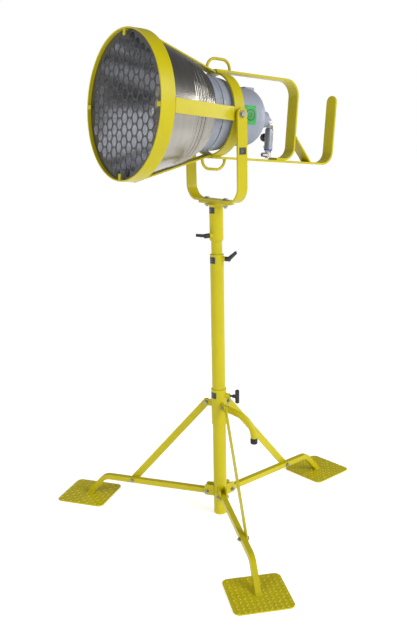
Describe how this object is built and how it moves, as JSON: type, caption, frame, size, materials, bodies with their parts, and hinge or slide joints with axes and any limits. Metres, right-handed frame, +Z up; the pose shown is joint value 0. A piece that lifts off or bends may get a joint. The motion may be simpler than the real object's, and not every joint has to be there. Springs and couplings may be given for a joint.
{
  "type": "air driven tripod flood light",
  "caption": "Portable flood light with its own compressed air turbine, in a yellow carrying frame on a folding, extending tripod.",
  "frame": {"origin": "on the mast axis, where the mast foot rests on the floor", "axes": "+Z up the mast; the lamp shines towards -Y, tipped 5 degrees up; +X is to the left of someone facing the lamp"},
  "size_m": [1.2291, 1.1326, 1.771],
  "materials": {
    "yellow_paint": "gloss paint with scuffs",
    "casting_grey": "sand cast, as cast",
    "zinc_steel": "zinc plated",
    "black_plastic": "moulded",
    "black_rubber": "matt",
    "dark_steel": "dark satin",
    "spun_aluminium": "spun",
    "clear_glass": "clear",
    "white_glass": "frosted",
    "white_plastic": "ceramic white",
    "copper_winding": "varnished windings",
    "chrome_fitting": "nickel plated",
    "dark_aluminium": "anodised",
    "blue_plastic": "moulded"
  },
  "bodies": {
    "stand": {"mast_tube": "yellow_paint", "mast_foot_plug": "yellow_paint", "lower_clamp_boss": "yellow_paint", "leg_clevises": "yellow_paint", "leg_pivot_bolts": "zinc_steel", "mast_bush": "black_plastic"},
    "collar": {"collar_sleeve": "yellow_paint", "collar_handle": "yellow_paint", "handle_cap": "black_rubber", "strut_pivot_bolts": "zinc_steel"},
    "knob": {"collar_knob": "black_plastic"},
    "right_leg": {"leg_right": "yellow_paint", "foot_plate_right": "yellow_paint", "strut_bolt_right": "zinc_steel"},
    "rear_leg": {"leg_rear": "yellow_paint", "foot_plate_rear": "yellow_paint", "strut_bolt_rear": "zinc_steel"},
    "left_leg": {"leg_left": "yellow_paint", "foot_plate_left": "yellow_paint", "strut_bolt_left": "zinc_steel"},
    "right_strut": {"strut_right": "yellow_paint"},
    "rear_strut": {"strut_rear": "yellow_paint"},
    "left_strut": {"strut_left": "yellow_paint"},
    "mast_extension": {"inner_tube": "yellow_paint", "inner_tube_guide": "black_plastic"},
    "lower_lever": {"lower_clamp_lever": "black_plastic"},
    "pan_head": {"socket_tube": "yellow_paint", "socket_bush": "black_plastic", "yoke": "yellow_paint", "yoke_bolts": "zinc_steel"},
    "upper_lever": {"upper_clamp_lever": "black_plastic"},
    "lamp": {"front_ring": "yellow_paint", "guard_straps": "yellow_paint", "rear_ring": "yellow_paint", "grille": "dark_steel", "grille_clips": "yellow_paint", "reflector": "spun_aluminium", "reflector_collar": "spun_aluminium", "lamp_neck": "casting_grey", "neck_gasket": "black_rubber", "rear_housing": "casting_grey", "housing_screws": "zinc_steel", "glass_globe": "clear_glass", "bulb": "white_glass", "lamp_holder": "white_plastic", "stator": "copper_winding", "rotor_bearings": "zinc_steel", "tilt_bolts": "zinc_steel", "tilt_spacers": "black_plastic", "handle_hoop": "yellow_paint", "hose_hook_bar": "yellow_paint", "hook_brace": "yellow_paint", "lifting_loops": "yellow_paint", "inlet_elbow": "chrome_fitting", "regulator_body": "dark_aluminium", "regulator_ring": "blue_plastic", "inlet_coupler": "chrome_fitting"},
    "turbine": {"magnet_rotor": "dark_steel", "turbine_wheel": "spun_aluminium"},
    "regulator_dial": {"regulator_knob": "black_plastic"}
  },
  "joints": [
    {"name": "collar_slide", "type": "slide", "parent": "stand", "child": "collar", "axis": [0, 0, 1], "range_m": [0, 0.43635]},
    {"name": "collar_knob_turn", "type": "hinge", "parent": "collar", "child": "knob", "pos_m": [0.04045, 0.02939, 0.484], "axis": [0.809, 0.5878, 0], "continuous": true},
    {"name": "right_leg_fold", "type": "hinge", "parent": "stand", "child": "right_leg", "pos_m": [0.04568, -0.02034, 0.088], "axis": [-0.4067, -0.9135, 0], "range_deg": [-0.5, 90.5]},
    {"name": "rear_leg_fold", "type": "hinge", "parent": "stand", "child": "rear_leg", "pos_m": [-0.00523, 0.04973, 0.088], "axis": [0.9945, 0.1045, 0], "range_deg": [-0.5, 90.5]},
    {"name": "left_leg_fold", "type": "hinge", "parent": "stand", "child": "left_leg", "pos_m": [-0.04045, -0.02939, 0.088], "axis": [-0.5878, 0.809, 0], "range_deg": [-0.5, 90.5]},
    {"name": "right_strut_fold", "type": "hinge", "parent": "collar", "child": "right_strut", "pos_m": [0.04842, -0.02156, 0.448], "axis": [0.4067, 0.9135, 0], "range_deg": [-0.5, 42.05]},
    {"name": "rear_strut_fold", "type": "hinge", "parent": "collar", "child": "rear_strut", "pos_m": [-0.00554, 0.05271, 0.448], "axis": [-0.9945, -0.1045, 0], "range_deg": [-0.5, 42.05]},
    {"name": "left_strut_fold", "type": "hinge", "parent": "collar", "child": "left_strut", "pos_m": [-0.04288, -0.03115, 0.448], "axis": [0.5878, -0.809, 0], "range_deg": [-0.5, 42.05]},
    {"name": "mast_extend", "type": "slide", "parent": "stand", "child": "mast_extension", "axis": [0, 0, 1], "range_m": [0, 0.6]},
    {"name": "lower_lever_turn", "type": "hinge", "parent": "stand", "child": "lower_lever", "pos_m": [0.03654, 0.01627, 1.003], "axis": [0.9135, 0.4067, 0], "range_deg": [-60, 0]},
    {"name": "pan", "type": "hinge", "parent": "mast_extension", "child": "pan_head", "pos_m": [0, 0, 1.13], "axis": [0, 0, 1], "continuous": true},
    {"name": "upper_lever_turn", "type": "hinge", "parent": "pan_head", "child": "upper_lever", "pos_m": [0.00279, -0.0399, 1.088], "axis": [0.0698, -0.9976, 0], "range_deg": [-60, 0]},
    {"name": "tilt", "type": "hinge", "parent": "pan_head", "child": "lamp", "pos_m": [0, 0, 1.502], "axis": [-1, 0, 0], "range_deg": [-40, 42]},
    {"name": "turbine_spin", "type": "hinge", "parent": "lamp", "child": "turbine", "pos_m": [0, 0.05977, 1.49677], "axis": [0, -0.9962, 0.0872], "continuous": true},
    {"name": "regulator_turn", "type": "hinge", "parent": "lamp", "child": "regulator_dial", "pos_m": [-0.02, 0.24066, 1.41871], "axis": [-1, 0, 0], "continuous": true}
  ],
  "couplings": [
    {"joint": "right_leg_fold", "follows": "collar_slide", "rad_per_m": 3.5999},
    {"joint": "rear_leg_fold", "follows": "collar_slide", "rad_per_m": 3.5999},
    {"joint": "left_leg_fold", "follows": "collar_slide", "rad_per_m": 3.5999},
    {"joint": "right_strut_fold", "follows": "collar_slide", "rad_per_m": 1.6618},
    {"joint": "rear_strut_fold", "follows": "collar_slide", "rad_per_m": 1.6618},
    {"joint": "left_strut_fold", "follows": "collar_slide", "rad_per_m": 1.6618}
  ]
}
